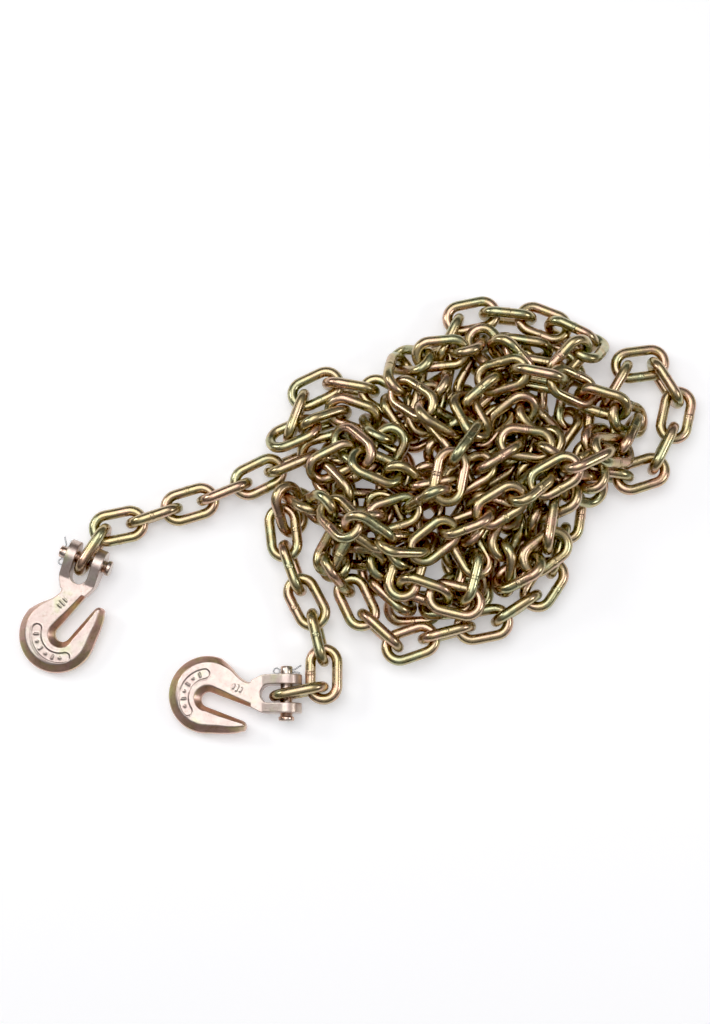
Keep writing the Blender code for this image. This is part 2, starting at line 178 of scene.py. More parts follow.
def smooth_line(route, steps=30):
    """A Catmull-Rom curve through given points."""
    points = np.array(route, float)
    ends = np.vstack([2 * points[0] - points[1], points, 2 * points[-1] - points[-2]])
    t = np.linspace(0, 1, steps, endpoint=False)[:, None]
    spans = [0.5 * (2 * b + (c - a) * t + (2 * a - 5 * b + 4 * c - d) * t * t
                    + (3 * b - a - 3 * c + d) * t ** 3)
             for a, b, c, d in zip(ends, ends[1:], ends[2:], ends[3:])]
    return np.vstack(spans + [points[-1:]])


def run_length(line):
    """Distance along a line at each of its points."""
    return np.concatenate([[0], np.cumsum(np.linalg.norm(np.diff(line, axis=0), axis=1))])


def waved(route, length, phase):
    """The route with side waves that bring it to a length."""
    line = smooth_line(route)
    along = run_length(line)
    slope = np.gradient(line, axis=0)
    side = np.stack([-slope[:, 1], slope[:, 0]], 1) / np.linalg.norm(slope, axis=1)[:, None]
    ease = np.clip(np.minimum(along, along[-1] - along) / WAVE_EASE, 0, 1)
    wave = side * (ease * np.sin(2 * math.pi * along / WAVE_LENGTH + phase))[:, None]
    low, high = 0, WAVE_MOST
    for _ in range(25):
        middle = (low + high) / 2
        if run_length(line + middle * wave)[-1] < length:
            low = middle
        else:
            high = middle
    return line + low * wave


def walk(line, step, count):
    """Points on the line, each a straight step from the last, as far as the line goes."""
    points = [line[0]]
    i = 1
    for _ in range(count):
        while i < len(line) and np.linalg.norm(line[i] - points[-1]) < step:
            i += 1
        if i >= len(line):
            break
        near = np.linalg.norm(line[i - 1] - points[-1])
        far = np.linalg.norm(line[i] - points[-1])
        share = max(0, step - near) / max(far - near, 1e-9)
        points.append(line[i - 1] + (line[i] - line[i - 1]) * share)
    return np.array(points)


def raised(flat, wires, first_height, last_height):
    """Heights for a route: over the wires already laid, and over its own earlier passes."""
    count = len(flat)
    step = run_length(flat)[-1] / count
    reach = np.hypot(flat[:, None, 0] - wires[None, :, 0], flat[:, None, 1] - wires[None, :, 1])
    top = np.where(reach < WIRE_REACH, wires[None, :, 2] + WIRE / 2, 0).max(1)
    height = np.where(top > 0, np.maximum(OVER_FLOOR, top + OVER_WIRE), OVER_FLOOR)
    ends = int(END_RUN / step)
    height[:ends] = first_height
    height[-ends:] = last_height
    for i in range(count - ends):
        gap = np.hypot(flat[:, 0] - flat[i, 0], flat[:, 1] - flat[i, 1])
        under = (np.arange(count) < i - int(CROSS_LAG / step)) & (gap < CROSS_REACH)
        if under.any():
            height[i] = max(height[i], height[under].max() + CROSS_RISE)
    for i in range(1, count):
        height[i] = max(height[i], height[i - 1] - CLIMB * step)
    for i in range(count - 2, -1, -1):
        height[i] = max(height[i], height[i + 1] - CLIMB * step)
    for i in range(ends * 2):
        rise = END_CLIMB * CLIMB * step * i
        height[i] = min(height[i], first_height + rise)
        height[count - 1 - i] = min(height[count - 1 - i], last_height + rise)
    return np.column_stack([flat, height])


def lay_stretch(lay, places, turns, laid):
    """Sets the places of a stretch's links between the two links that it joins."""
    first, last, phase, route = lay
    count = last - first + 1
    before, after = first - 2, last
    others = [k for k in laid if k not in (before, after)]
    wires = np.vstack([places[k] + RING @ turns[k].T for k in others])
    length = count * PITCH
    for _ in range(10):
        line = waved(route, length, phase)
        along = run_length(line)
        even = np.linspace(0, along[-1], LAY_POINTS)
        flat = np.stack([np.interp(even, along, line[:, 0]), np.interp(even, along, line[:, 1])], 1)
        path = raised(flat, wires, places[before][2], places[after][2])
        low, high = SHORT_STEP, LONG_STEP
        for _ in range(40):
            middle = (low + high) / 2
            if len(walk(path, middle, count)) == count + 1:
                low = middle
            else:
                high = middle
        if abs(PITCH / low - 1) < LENGTH_MATCH:
            break
        length *= PITCH / low
    seats = walk(path, low, count)
    first_roll = roll_of(turns[before]) + math.pi / 2
    last_roll = roll_of(turns[after]) + math.pi / 2
    quarter = math.pi / 2
    twist = (last_roll - first_roll - (count - 1) * quarter + quarter) % math.pi - quarter
    chance = np.random.default_rng(int(phase * 100))
    for i in range(count):
        roll = first_roll + i * quarter + twist * i / (count - 1)
        roll += chance.normal(0, ROLL_SPREAD) if 0 < i < count - 1 else 0
        places[first - 1 + i] = (seats[i] + seats[i + 1]) / 2
        turns[first - 1 + i] = link_turn(seats[i], seats[i + 1], roll)
    return list(range(first - 1, last))


def spin(vectors):
    """Rotation matrices for rotation vectors."""
    angle = np.linalg.norm(vectors, axis=1, keepdims=True)
    axis = vectors / np.maximum(angle, 1e-12)
    cross = np.zeros((len(vectors), 3, 3))
    cross[:, 0, 1] = -axis[:, 2]
    cross[:, 0, 2] = axis[:, 1]
    cross[:, 1, 0] = axis[:, 2]
    cross[:, 1, 2] = -axis[:, 0]
    cross[:, 2, 0] = -axis[:, 1]
    cross[:, 2, 1] = axis[:, 0]
    sine = np.sin(angle)[:, :, None]
    cosine = np.cos(angle)[:, :, None]
    return np.eye(3) + sine * cross + (1 - cosine) * (cross @ cross)


def capped(vectors, most):
    """Vectors cut down to a greatest length."""
    size = np.linalg.norm(vectors, axis=1, keepdims=True)
    return vectors * np.minimum(1, most / np.maximum(size, 1e-12))


def touches(places, turns, wires, one, other):
    """The deepest contact of each pair: a point on one link's wire and the other's centreline."""
    local = np.einsum("pki,pij->pkj", wires[one] - places[other][:, None], turns[other])
    middle = np.clip(local[..., 0], -HALF_STRAIGHT, HALF_STRAIGHT)
    out = local[..., 0] - middle
    radius = np.hypot(out, local[..., 1]) + 1e-9
    k = ((radius - CROWN) ** 2 + local[..., 2] ** 2).argmin(1)
    row = np.arange(len(one))
    local, middle, out, radius = local[row, k], middle[row, k], out[row, k], radius[row, k]
    on_ring = np.stack([middle + CROWN * out / radius, CROWN * local[:, 1] / radius,
                        np.zeros(len(row))], 1)
    gap = local - on_ring
    size = np.linalg.norm(gap, axis=1) + 1e-9
    hit = size < CLEAR
    one, other, k, row = one[hit], other[hit], k[hit], row[hit]
    away = np.einsum("pij,pj->pi", turns[other], gap[row] / size[row, None])
    ring_point = places[other] + np.einsum("pij,pj->pi", turns[other], on_ring[row])
    return one, other, wires[one, k], ring_point, away, CLEAR - size[row]


def settle(places, turns, laid, free, rounds, fall, keep_speed, grip):
    """Links fall and push each other apart. Only the free ones move."""
    index = np.array(laid)
    here, turn = places[index].copy(), turns[index].copy()
    loose = np.isin(index, free)
    weight = loose.astype(float)
    count = len(index)
    speed = np.zeros((count, 3))
    turning = np.zeros((count, 3))

    def lever(body, arm, away):
        """How a push at a point turns a link, and how easily it moves that way."""
        push = np.einsum("pij,pi->pj", turn[body], np.cross(arm, away))
        return push, weight[body] * (1 + (push * push * TURN_WEIGHTS).sum(1))

    for number in range(rounds):
        if number % NEAR_EVERY == 0:
            apart = np.linalg.norm(here[:, None] - here[None], axis=2)
            near = (apart < NEAR) & ~np.eye(count, dtype=bool) & (loose[:, None] | loose[None, :])
            one, other = np.where(near)
        old_here, old_turn = here.copy(), turn.copy()
        speed[:, 2] -= fall * loose
        here = here + speed
        turn = spin(turning) @ turn
        for _ in range(PASSES):
            wires = here[:, None] + np.einsum("kj,nij->nki", RING, turn)
            a, b, point, ring_point, away, depth = touches(here, turn, wires, one, other)
            arm_a, arm_b = point - here[a], ring_point - here[b]
            push_a, weight_a = lever(a, arm_a, away)
            push_b, weight_b = lever(b, arm_b, -away)
            share = depth / (weight_a + weight_b + 1e-9)
            pushes = [(a, push_a, away, share), (b, push_b, -away, share)]
            lowest = wires[..., 2].argmin(1)
            sunk = WIRE / 2 + FLOOR_TOP - wires[np.arange(count), lowest, 2]
            low = np.where((sunk > 0) & loose)[0]
            if len(low):
                upward = np.tile([0.0, 0.0, 1.0], (len(low), 1))
                push, load = lever(low, wires[low, lowest[low]] - here[low], upward)
                pushes.append((low, push, upward, sunk[low] / load))
            move, rock, hits = np.zeros((count, 3)), np.zeros((count, 3)), np.zeros(count)
            for body, push, way, much in pushes:
                much = much * weight[body]
                np.add.at(move, body, way * much[:, None])
                rolled = np.einsum("pij,pj->pi", turn[body], push * TURN_WEIGHTS)
                np.add.at(rock, body, rolled * much[:, None])
                np.add.at(hits, body, 1)
            part = (OVERSHOOT / np.maximum(1, hits) ** SHARING)[:, None]
            here = here + capped(move * part, MOST_MOVE)
            turn = spin(capped(rock * part, MOST_ROCK)) @ turn
        held = np.where(hits > 0, 1 - grip, 1)[:, None] * keep_speed * weight[:, None]
        speed = capped((here - old_here) * held, MOST_MOVE)
        change = turn @ np.transpose(old_turn, (0, 2, 1))
        turning = 0.5 * held * np.stack([change[:, 2, 1] - change[:, 1, 2],
                                         change[:, 0, 2] - change[:, 2, 0],
                                         change[:, 1, 0] - change[:, 0, 1]], 1)
        turning = capped(turning, MOST_TURNING)
        if number % SQUARE_EVERY == SQUARE_EVERY - 1:
            left, _, right = np.linalg.svd(turn)
            turn = left @ right
    places[index], turns[index] = here, turn


def swept(places, turns):
    """The places and rotations, with those that the tails' first links move to added."""
    for name, degrees, numbers in SWEPT:
        joint = [j for j in frame["joints"] if j["name"] == name][0]
        pivot = np.array(joint["pos_m"])
        turn = spin(np.array([joint["axis"]]) * math.radians(degrees))[0]
        for number in numbers:
            places = np.vstack([places, pivot + turn @ (places[number - 1] - pivot)])
            turns = np.vstack([turns, [turn @ turns[number - 1]]])
    return places, turns


def heap():
    """Centre and rotation of all the links."""
    places = np.zeros((LINKS, 3))
    turns = np.zeros((LINKS, 3, 3))
    laid = []
    for name, node in frame["nodes"].items():
        if name.startswith("link_"):
            number = int(name[5:]) - 1
            places[number], turns[number] = place_of(node)
            laid.append(number)
    places, turns = swept(places, turns)
    clear = list(range(LINKS, len(places)))
    free = []
    for lay in LAYS:
        new = lay_stretch(lay, places, turns, laid)
        laid += new
        free += new
        settle(places, turns, laid + clear, free, *PART_WAYS)
        settle(places, turns, laid + clear, free, *DROP_LAY)
    settle(places, turns, laid + clear, free, *DROP_ALL)
    settle(places, turns, laid + clear, free, *PART_AT_LAST)
    return places[:LINKS], turns[:LINKS]


def mesh_from(name, points, faces):
    """A mesh from points and faces."""
    mesh = bpy.data.meshes.new(name)
    mesh.from_pydata([tuple(p) for p in points], [], faces)
    mesh.validate()
    return mesh


def add_piece(name, mesh, material, body, matrix):
    """A finished piece: smooth shaded, in its material, riding on its body."""
    for face in mesh.polygons:
        face.use_smooth = True
    mesh.materials.clear()
    mesh.materials.append(material)
    mesh.transform(matrix)
    piece = bpy.data.objects.new(name, mesh)
    bpy.context.scene.collection.objects.link(piece)
    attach(piece, body)
    return piece


def set_value(mesh, name, values):
    """A number at each vertex, which the materials read."""
    attribute = mesh.attributes.new(name, "FLOAT", "POINT")
    attribute.data.foreach_set("value", np.asarray(values, np.float32))


def closed_tube(rings):
    """Quads between rings of points, the last joined to the first."""
    count, sides = len(rings), len(rings[0])
    faces = []
    for i in range(count):
        k = (i + 1) % count
        for j in range(sides):
            m = (j + 1) % sides
            faces.append((i * sides + j, i * sides + m, k * sides + m, k * sides + j))
    return [p for ring in rings for p in ring], faces


# A shown link: its weld's stations along the side are in millimetres from the weld's middle
LINK_SIDES = 14
CROWN_STEPS = 14
WELD_STATIONS = (-8, -4.5, -2.4, -1.5, -1.1, -0.7, -0.3, 0, 0.3, 0.7, 1.1, 1.5, 2.4, 4.5, 8)
WELD_HALF, WELD_GROOVE = 1.4, 0.2
NO_WELD = 9


def link_mesh(name, chance):
    """A bent and welded round wire. The weld is a low ring on one straight side."""
    bend = chance.uniform(-0.00012, 0.00012)
    weld_at = chance.uniform(-0.0015, 0.0015)
    weld_rise = chance.uniform(0.00012, 0.00024)
    flat_from = chance.uniform(0, 2 * math.pi)
    path = []
    for end, start in ((1, -90), (-1, 90)):
        for k in range(CROWN_STEPS + 1):
            a = math.radians(start + 180 * k / CROWN_STEPS)
            point = Vector((end * HALF_STRAIGHT + CROWN * math.cos(a), CROWN * math.sin(a), 0))
            path.append((point, Vector((math.cos(a), math.sin(a), 0)), NO_WELD))
        if end == 1:
            for step in reversed(WELD_STATIONS):
                x = step / 1000 + weld_at
                path.append((Vector((x, CROWN + bend, 0)), Vector((0, 1, 0)), step))
        else:
            for x in (-0.005, 0.0, 0.005):
                path.append((Vector((x, -CROWN - bend, 0)), Vector((0, -1, 0)), NO_WELD))
    rings = []
    for point, out, step in path:
        ring = []
        for j in range(LINK_SIDES):
            a = 2 * math.pi * j / LINK_SIDES
            rise = 0
            if abs(step) < WELD_HALF:
                rise = weld_rise * (1 - 0.55 * math.cos(a - flat_from))
                rise *= 0.35 if abs(step) < WELD_GROOVE else 1
            radius = WIRE / 2 - SLACK + rise
            ring.append(point + radius * (math.cos(a) * out + math.sin(a) * Vector((0, 0, 1))))
        rings.append(ring)
    mesh = mesh_from(name, *closed_tube(rings))
    set_value(mesh, "tone", [chance.uniform(0, 1)] * len(mesh.vertices))
    return mesh


# Hook, in its own frame: x from the pin towards the bowl, y along the pin to its head, z up
BOWL_REACH = 0.0715
BOWL_RADIUS = 0.0348
HOOK_THICK = 0.016
THROAT_RADIUS = 0.00675
THROAT_END = (0.0697, 0.0045)
THROAT_SLOPE = math.radians(21)
EAR_RADIUS = 0.014
CLEVIS_HALF_WIDTH = 0.01725
SLOT_HALF_WIDTH = 0.0082
SLOT_DEPTH = 0.023
CLEVIS_ROOT = 0.031
PIN_RADIUS = 0.0055
PIN_BORE = 0.0058
HOOK_LENGTH = 0.1011
POCKET_CENTRE = (0.0702, 0.0030)
POCKET_RADIUS = 0.0212
POCKET_HALF_WIDTH = 0.0046
POCKET_FROM, POCKET_TO = math.radians(-84), math.radians(34)
POCKET_DEPTH, POCKET_WALL = 0.0007, 0.0009
RIM_HEIGHT, RIM_WIDTH = 0.00025, 0.0005
PIPS = 6
PIP_HEIGHT, PIP_BAR_HALF = 0.0009, 0.0016
BARS_AT = (0.0430, -0.0050)
BARS_TURN = math.radians(155)
BAR_HEIGHT, BAR_WIDTH, BAR_PITCH = 0.0007, 0.0009, 0.0036
VOXEL = 0.00050
CUTTER_HALF = 0.03
COTTER_AT = -0.0206
COTTER_WIRE = 0.00074


def hook_edges():
    """Matching points on the hook's throat side and outer side, from the clevis to the tip.
    With each pair, how wide the forging's slope is on either side."""
    slope = math.tan(THROAT_SLOPE)
    upper_y = THROAT_END[1] - THROAT_RADIUS / math.cos(THROAT_SLOPE)
    lower_y = THROAT_END[1] + THROAT_RADIUS / math.cos(THROAT_SLOPE)
    shank = smooth_line([(0.0265, -0.0150), (0.0335, -0.0110), (0.0420, -0.0158),
                         (0.0500, -0.0248), (0.0568, -0.0308)], 5)
    inner = [(x, upper_y + (THROAT_END[0] - x) * slope) for x, _ in shank]
    outer = [tuple(p) for p in shank]
    steps = 48
    for i in range(steps + 1):
        turn = -math.pi / 2 - THROAT_SLOPE + math.pi * i / steps
        inner.append((THROAT_END[0] + THROAT_RADIUS * math.cos(turn),
                      THROAT_END[1] + THROAT_RADIUS * math.sin(turn)))
        turn = math.radians(-112 + 204 * i / steps)
        outer.append((BOWL_REACH + BOWL_RADIUS * math.cos(turn), BOWL_RADIUS * math.sin(turn)))
    arm = smooth_line([(0.0600, 0.0352), (0.0520, 0.0353), (0.0440, 0.0346), (0.0390, 0.0332)], 5)
    inner += [(x, lower_y + (THROAT_END[0] - x) * slope) for x, _ in arm]
    outer += [tuple(p) for p in arm]
    middle = (np.array(inner[-1]) + outer[-1]) / 2
    half = (np.array(outer[-1]) - inner[-1]) / 2
    for a in (20, 38, 54, 68, 79):
        forward = np.array((-0.0037 * math.sin(math.radians(a)), 0.0004))
        inner.append(tuple(middle + forward - half * math.cos(math.radians(a))))
        outer.append(tuple(middle + forward + half * math.cos(math.radians(a))))
    count = len(inner)
    share = np.linspace(0, 1, count)
    first, last = len(shank) / count, (len(shank) + steps) / count
    stops = (0, first * 0.6, first, (first + last) / 2, last, 1)
    near = np.interp(share, stops, (0.0030, 0.0042, 0.0056, 0.0064, 0.0046, 0.0022))
    far = np.interp(share, stops, (0.0012, 0.0022, 0.0058, 0.0082, 0.0074, 0.0036))
    return zip(inner, outer, near, far)


def hook_body():
    """The forged body: a band between the two edges, with a flat face and drafted sides."""
    rings = []
    for near, far, near_slope, far_slope in hook_edges():
        across = Vector((far[0] - near[0], far[1] - near[1], 0))
        width = across.length
        across.normalize()
        thick = HOOK_THICK / 2 * min(1, 0.42 + width / 0.017)
        squeeze = min(1, 0.80 * width / (near_slope + far_slope))
        near_slope, far_slope = near_slope * squeeze, far_slope * squeeze
        upper = [(0, 0.34), (0.06, 0.44), (0.90, 0.95), (1.06, 1)]
        upper = [(near_slope * u, thick * z) for u, z in upper]
        outer = [(1.06, 1), (0.92, 0.95), (0.10, 0.42), (0.02, 0.20), (0, 0)]
        upper += [(width - far_slope * u, thick * z) for u, z in outer]
        start = Vector((*near, 0))
        ring = [start + across * u + Vector((0, 0, z)) for u, z in upper]
        ring += [start + across * u - Vector((0, 0, z)) for u, z in reversed(upper[:-1])]
        rings.append(ring)
    sides = len(rings[0])
    points = [p for ring in rings for p in ring]
    faces = [tuple(reversed(range(sides))),
             tuple(range(len(points) - sides, len(points)))]
    for i in range(len(rings) - 1):
        for j in range(sides):
            m = (j + 1) % sides
            low, high = i * sides, (i + 1) * sides
            faces.append((low + j, low + m, high + m, high + j))
    return mesh_from("hook_body", points, faces)


def prism(name, outline, low, high):
    """An outline drawn up from one height to another."""
    points = [(x, y, low) for x, y in outline] + [(x, y, high) for x, y in outline]
    count = len(outline)
    faces = [tuple(reversed(range(count))), tuple(range(count, 2 * count))]
    for i in range(count):
        k = (i + 1) % count
        faces.append((i, k, count + k, count + i))
    return mesh_from(name, points, faces)


def clevis_plan():
    """The clevis block's outline from above."""
    half = CLEVIS_HALF_WIDTH
    side = [(-0.015, half), (0.0185, half), (0.0215, 0.0168), (0.0245, 0.0155),
            (0.0275, 0.0138), (CLEVIS_ROOT, 0.0121)]
    return side + [(x, -y) for x, y in reversed(side)]


def clevis_profile():
    """The clevis block's outline from the side: round ears that run into the neck."""
    neck = (0.0210, HOOK_THICK / 2)
    meet = math.acos(EAR_RADIUS / math.hypot(*neck)) + math.atan2(neck[1], neck[0])
    steps = 36
    arc = [meet + (2 * math.pi - 2 * meet) * i / steps for i in range(steps + 1)]
    arc = [(EAR_RADIUS * math.cos(a), EAR_RADIUS * math.sin(a)) for a in arc]
    end = (CLEVIS_ROOT + 0.001, HOOK_THICK / 2)
    return [end, neck] + arc + [(neck[0], -neck[1]), (end[0], -end[1])]


def slot_outline():
    """The slot between the clevis ears, with its round root."""
    steps = 24
    points = [(-0.03, -SLOT_HALF_WIDTH)]
    for i in range(steps + 1):
        turn = math.pi * (i / steps - 0.5)
        points.append((SLOT_DEPTH - SLOT_HALF_WIDTH + SLOT_HALF_WIDTH * math.cos(turn),
                       SLOT_HALF_WIDTH * math.sin(turn)))
    return points + [(-0.03, SLOT_HALF_WIDTH)]


def helper(name, mesh, matrix=None):
    """An object that only helps to shape another."""
    guide = bpy.data.objects.new(name, mesh)
    bpy.context.scene.collection.objects.link(guide)
    if matrix is not None:
        guide.matrix_world = matrix
    return guide


def settled(piece, guides):
    """The piece's mesh as its modifiers leave it. The piece and its guides are removed."""
    bpy.context.view_layer.update()
    depsgraph = bpy.context.evaluated_depsgraph_get()
    mesh = bpy.data.meshes.new_from_object(piece.evaluated_get(depsgraph))
    for old in [piece] + guides:
        bpy.data.objects.remove(old, do_unlink=True)
    return mesh


def smooth_step(x, low, high):
    """0 below low, 1 above high, and smooth between them."""
    t = np.clip((x - low) / (high - low), 0, 1)
    return t * t * (3 - 2 * t)


def forged_marks(points):
    """Height of the face over its own plane: a crescent pocket of plain dots and bars, and a
    short row of bars on the shank."""
    x, y = points[:, 0] - POCKET_CENTRE[0], points[:, 1] - POCKET_CENTRE[1]
    turn = np.arctan2(y, x)
    held = np.clip(turn, POCKET_FROM, POCKET_TO)
    side = np.hypot(x - POCKET_RADIUS * np.cos(held), y - POCKET_RADIUS * np.sin(held))
    inner = POCKET_HALF_WIDTH - POCKET_WALL
    height = -POCKET_DEPTH * (1 - smooth_step(side, inner, POCKET_HALF_WIDTH))
    height += RIM_HEIGHT * np.exp(-((side - POCKET_HALF_WIDTH - RIM_WIDTH) / RIM_WIDTH) ** 2)
    for i in range(PIPS):
        a = POCKET_FROM + (POCKET_TO - POCKET_FROM) * (i + 0.7) / (PIPS + 0.4)
        out = x * math.cos(a) + y * math.sin(a) - POCKET_RADIUS
        along = -x * math.sin(a) + y * math.cos(a)
        far = np.maximum(np.abs(out) - (0.0 if i % 2 else PIP_BAR_HALF), 0)
        width = 0.0012 if i % 2 else 0.0009
        height += PIP_HEIGHT * np.exp(-(np.hypot(far, along) / width) ** 2)
    c, s = math.cos(BARS_TURN), math.sin(BARS_TURN)
    mx, my = points[:, 0] - BARS_AT[0], points[:, 1] - BARS_AT[1]
    along, out = mx * c + my * s, -mx * s + my * c
    for i, half in ((-1, 0.0016), (0, 0.0024), (1, 0.0016)):
        far = np.maximum(np.abs(out) - half, 0)
        height += BAR_HEIGHT * np.exp(-(np.hypot(far, along - i * BAR_PITCH) / BAR_WIDTH) ** 2)
    return height


def hook_mesh():
    """The whole hook: clevis and body in one, softened as a forging is, with its marks."""
    clevis = helper("clevis", prism("clevis", clevis_plan(), -0.02, 0.02))
    on_side = Matrix.Rotation(math.radians(90), 4, "X")
    profile = helper("profile", prism("profile", clevis_profile(), -CUTTER_HALF, CUTTER_HALF),
                     on_side)
    body = helper("body", hook_body())
    slot = helper("slot", prism("slot", slot_outline(), -CUTTER_HALF, CUTTER_HALF))
    circle = [(PIN_BORE * math.cos(2 * math.pi * k / 40), PIN_BORE * math.sin(2 * math.pi * k / 40))
              for k in range(40)]
    bore = helper("bore", prism("bore", circle, -CUTTER_HALF, CUTTER_HALF), on_side)
    for guide, kind in ((profile, "INTERSECT"), (body, "UNION"), (slot, "DIFFERENCE"),
                        (bore, "DIFFERENCE")):
        cut = clevis.modifiers.new(guide.name, "BOOLEAN")
        cut.operation = kind
        cut.solver = "EXACT"
        cut.object = guide
    remesh = clevis.modifiers.new("remesh", "REMESH")
    remesh.mode = "VOXEL"
    remesh.voxel_size = VOXEL
    soften = clevis.modifiers.new("soften", "SMOOTH")
    soften.factor = 0.5
    soften.iterations = 5
    mesh = settled(clevis, [profile, body, slot, bore])
    points = np.array([v.co for v in mesh.vertices])
    normals = np.array([v.normal for v in mesh.vertices])
    face = smooth_step(np.abs(normals[:, 2]), 0.93, 0.99)
    face *= smooth_step(np.abs(points[:, 2]), 0.0070, 0.0076)
    points[:, 2] += np.sign(points[:, 2]) * forged_marks(points) * face
    mesh.vertices.foreach_set("co", points.astype(np.float32).ravel())
    side = 1 - smooth_step(np.abs(normals[:, 2]), 0.86, 0.97)
    set_value(mesh, "side", side * (0.25 + 0.75 * smooth_step(points[:, 0], 0.018, 0.034)))
    mesh.update()
    return mesh


def turned(name, profile, sides=40):
    """A solid turned about the Y axis from (y, radius) points, closed at both ends."""
    points = [(0, profile[0][0], 0)]
    for y, radius in profile:
        for k in range(sides):
            a = 2 * math.pi * k / sides
            points.append((radius * math.cos(a), y, radius * math.sin(a)))
    points.append((0, profile[-1][0], 0))
    faces = []
    for k in range(sides):
        m = (k + 1) % sides
        faces.append((0, 1 + k, 1 + m))
        last = 1 + (len(profile) - 1) * sides
        faces.append((len(points) - 1, last + m, last + k))
        for i in range(len(profile) - 1):
            low, high = 1 + i * sides, 1 + (i + 1) * sides
            faces.append((low + k, high + k, high + m, low + m))
    mesh = mesh_from(name, points, faces)
    tidy = bmesh.new()
    tidy.from_mesh(mesh)
    bmesh.ops.recalc_face_normals(tidy, faces=tidy.faces)
    tidy.to_mesh(mesh)
    tidy.free()
    return mesh


def pin_mesh():
    """Headed clevis pin along Y, with an upset head, a worn point and the split pin's hole."""
    r, head = PIN_RADIUS, 0.0072
    profile = [(-0.0250, 0.0012), (-0.02495, r - 0.0012), (-0.0246, r - 0.0004),
               (-0.0241, r), (-0.0200, r), (0.0196, r), (0.0201, r + 0.0002),
               (0.0203, head - 0.0005), (0.0206, head - 0.0001), (0.0212, head),
               (0.0233, head), (0.0239, head - 0.0003), (0.0242, head - 0.0009),
               (0.0243, head - 0.0020), (0.02435, 0.0015)]
    pin = helper("pin", turned("pin", profile))
    across = Matrix.Translation((0, COTTER_AT, 0)) @ Matrix.Rotation(math.radians(90), 4, "Z")
    bore = helper("hole", turned("hole", [(-0.01, 0.0017), (0.01, 0.0017)], 20), across)
    cut = pin.modifiers.new("hole", "BOOLEAN")
    cut.operation = "DIFFERENCE"
    cut.solver = "EXACT"
    cut.object = bore
    return settled(pin, [bore])


def cotter_mesh():
    """Split pin through the clevis pin: an eye at one end and two spread legs."""
    gap, clear, eye = 0.00085, PIN_RADIUS + 0.001, 0.0026
    path = [(-0.0132, -0.0050), (-0.0112, -0.0040), (-0.0092, -0.0026), (-clear, -gap), (0, -gap),
            (clear, -gap)]
    for step in range(13):
        turn = math.radians(-150 + 25 * step)
        path.append((clear + eye + eye * math.cos(turn), eye * math.sin(turn)))
    path += [(clear, gap), (0, gap), (-clear, gap), (-0.0095, 0.0014), (-0.0122, 0.0020)]
    curve = bpy.data.curves.new("cotter", "CURVE")
    curve.dimensions = "3D"
    curve.bevel_depth = COTTER_WIRE
    curve.bevel_resolution = 3
    curve.use_fill_caps = True
    spline = curve.splines.new("NURBS")
    spline.points.add(len(path) - 1)
    for point, (x, y) in zip(spline.points, path):
        point.co = (x, COTTER_AT + y, 0, 1)
    spline.use_endpoint_u = True
    spline.order_u = 3
    spline.resolution_u = 6
    wire = bpy.data.objects.new("cotter", curve)
    bpy.context.scene.collection.objects.link(wire)
    return settled(wire, [])


def hook_place(node):
    """A hook's own frame in the whole: from its clevis pin's axis, with its tip and heel on
    the floor."""
    joint = [j for j in frame["joints"] if j["child"] == "pin_" + node[-1]][0]
    origin, axis = Vector(joint["pos_m"]), Vector(joint["axis"])
    low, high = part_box(node)
    forward = Vector((axis.y, -axis.x, 0)).normalized()
    if forward.dot((low + high) / 2 - origin) < 0:
        forward = -forward
    heading = math.atan2(forward.y, forward.x)
    tilt = math.asin(origin.z / math.hypot(HOOK_LENGTH, HOOK_THICK / 2))
    tilt -= math.atan2(HOOK_THICK / 2, HOOK_LENGTH)
    turn = Matrix.Rotation(heading, 4, "Z") @ Matrix.Rotation(tilt, 4, "Y")
    return Matrix.Translation(origin) @ turn


def ramp_of(tree, factor, stops):
    """A colour ramp through (position, colour) stops."""
    ramp = tree.nodes.new("ShaderNodeValToRGB")
    ramp.color_ramp.elements[0].position = stops[0][0]
    ramp.color_ramp.elements[0].color = (*stops[0][1], 1)
    ramp.color_ramp.elements[1].position = stops[-1][0]
    ramp.color_ramp.elements[1].color = (*stops[-1][1], 1)
    for place, colour in stops[1:-1]:
        ramp.color_ramp.elements.new(place).color = (*colour, 1)
    tree.links.new(factor, ramp.inputs["Fac"])
    return ramp.outputs["Color"]


def mixed(tree, factor, first, second):
    """Two colours mixed, each a constant or an output."""
    mix = tree.nodes.new("ShaderNodeMix")
    mix.data_type = "RGBA"
    tree.links.new(factor, mix.inputs["Factor"])
    for socket, value in ((mix.inputs[6], first), (mix.inputs[7], second)):
        if isinstance(value, tuple):
            socket.default_value = (*value, 1)
        else:
            tree.links.new(value, socket)
    return mix.outputs[2]


def noise_of(tree, where, tone, scale, detail, rough):
    """Noise over a piece, different for each tone."""
    noise = tree.nodes.new("ShaderNodeTexNoise")
    noise.noise_dimensions = "4D"
    noise.inputs["Scale"].default_value = scale
    noise.inputs["Detail"].default_value = detail
    noise.inputs["Roughness"].default_value = rough
    tree.links.new(where, noise.inputs["Vector"])
    tree.links.new(tone, noise.inputs["W"])
    return noise.outputs["Fac"]


